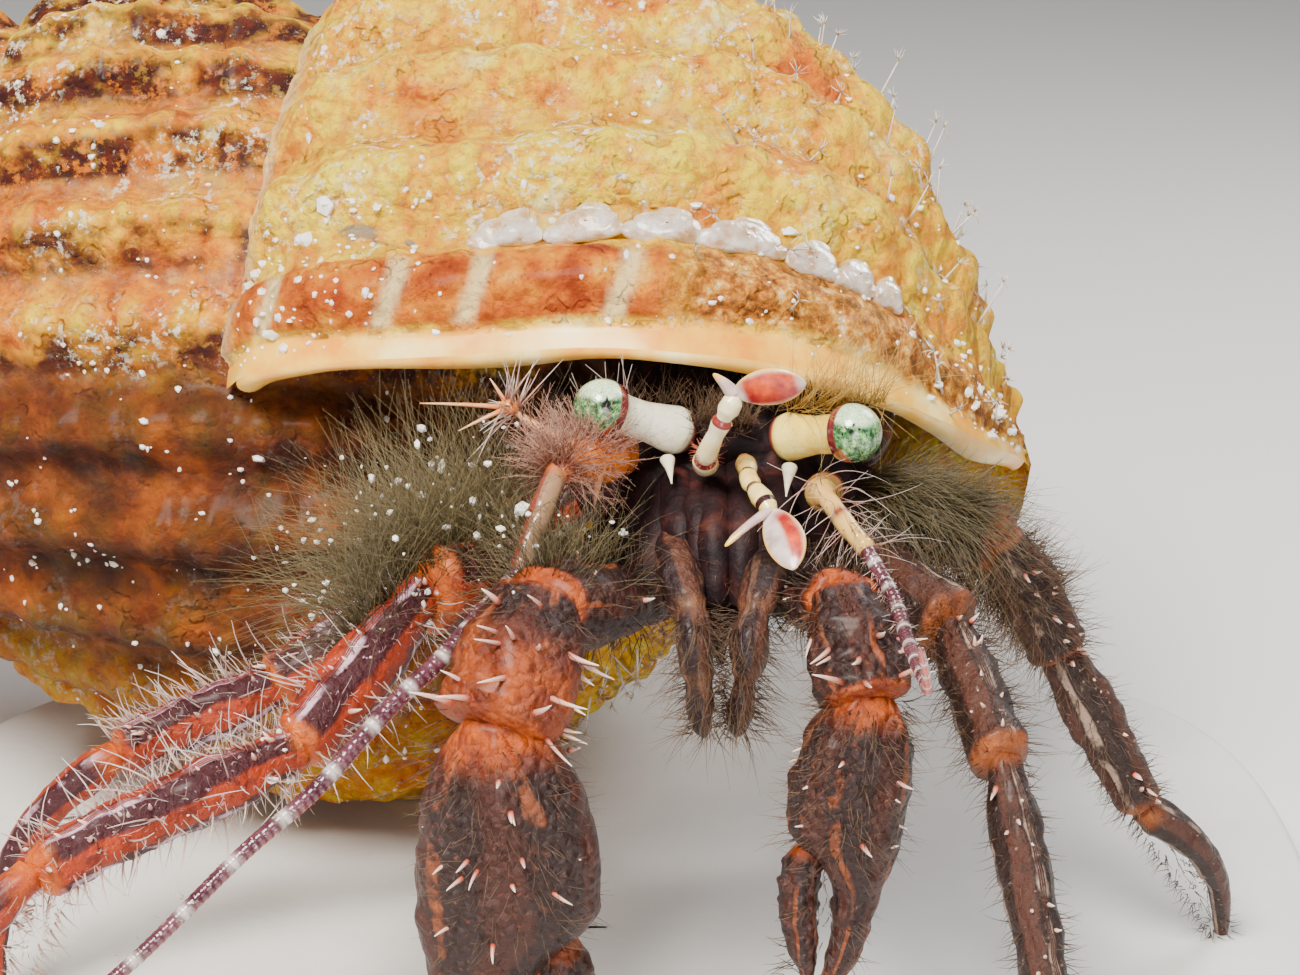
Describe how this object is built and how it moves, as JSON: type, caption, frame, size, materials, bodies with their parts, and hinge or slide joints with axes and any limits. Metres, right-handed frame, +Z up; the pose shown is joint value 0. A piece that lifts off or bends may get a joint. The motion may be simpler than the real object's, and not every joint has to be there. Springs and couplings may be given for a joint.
{
  "type": "hermit crab in a whelk-like shell, standing model",
  "caption": "Hermit crab looking out from under the lip of a ribbed spiral shell, eyes and feelers raised, standing on its leg tips on a plain board.",
  "frame": {"origin": "middle of the footprint of the bounding box, on the ground", "axes": "+X to the animal's left, +Y to its back, +Z up"},
  "size_m": [0.0448, 0.0372, 0.0208],
  "materials": {
    "shell": "semi-matte, ribbed and encrusted",
    "body": "glossy cuticle",
    "abdomen": "soft skin",
    "cornea": "wet gloss",
    "eyestalk": "glossy cuticle",
    "antennule": "glossy cuticle",
    "antenna": "glossy cuticle",
    "claw": "glossy cuticle with spines",
    "leg": "glossy striped cuticle",
    "stand": "matte pale board"
  },
  "bodies": {
    "root": {"abdomen": "abdomen", "antenna_1_left": "antenna", "antenna_1_right": "antenna", "antenna_2_left": "antenna", "antenna_2_right": "antenna", "antenna_3_left": "antenna", "antenna_3_right": "antenna", "antenna_4_left": "antenna", "antenna_4_right": "antenna", "antenna_base_left": "antenna", "antenna_base_right": "antenna", "antennule_fan_left": "antennule", "antennule_fan_right": "antennule", "antennule_left": "antennule", "antennule_right": "antennule", "carapace": "body", "claw_arm_left": "claw", "claw_arm_right": "claw", "claw_finger_left": "claw", "claw_finger_right": "claw", "claw_palm_left": "claw", "claw_palm_right": "claw", "claw_wrist_left": "claw", "claw_wrist_right": "claw", "cornea_left": "cornea", "cornea_right": "cornea", "eye_scale_left": "eyestalk", "eye_scale_right": "eyestalk", "eyestalk_left": "eyestalk", "eyestalk_right": "eyestalk", "leg1_knee_left": "leg", "leg1_knee_right": "leg", "leg1_shin_left": "leg", "leg1_shin_right": "leg", "leg1_toe_left": "leg", "leg1_toe_right": "leg", "leg1_upper_left": "leg", "leg1_upper_right": "leg", "leg2_knee_left": "leg", "leg2_knee_right": "leg", "leg2_shin_left": "leg", "leg2_shin_right": "leg", "leg2_toe_left": "leg", "leg2_toe_right": "leg", "leg2_upper_left": "leg", "leg2_upper_right": "leg", "maxilliped_left": "body", "maxilliped_right": "body", "rear_leg_left": "leg", "rear_leg_right": "leg", "shell": "shell", "stand_base": "stand", "thorax": "body"}
  },
  "joints": []
}
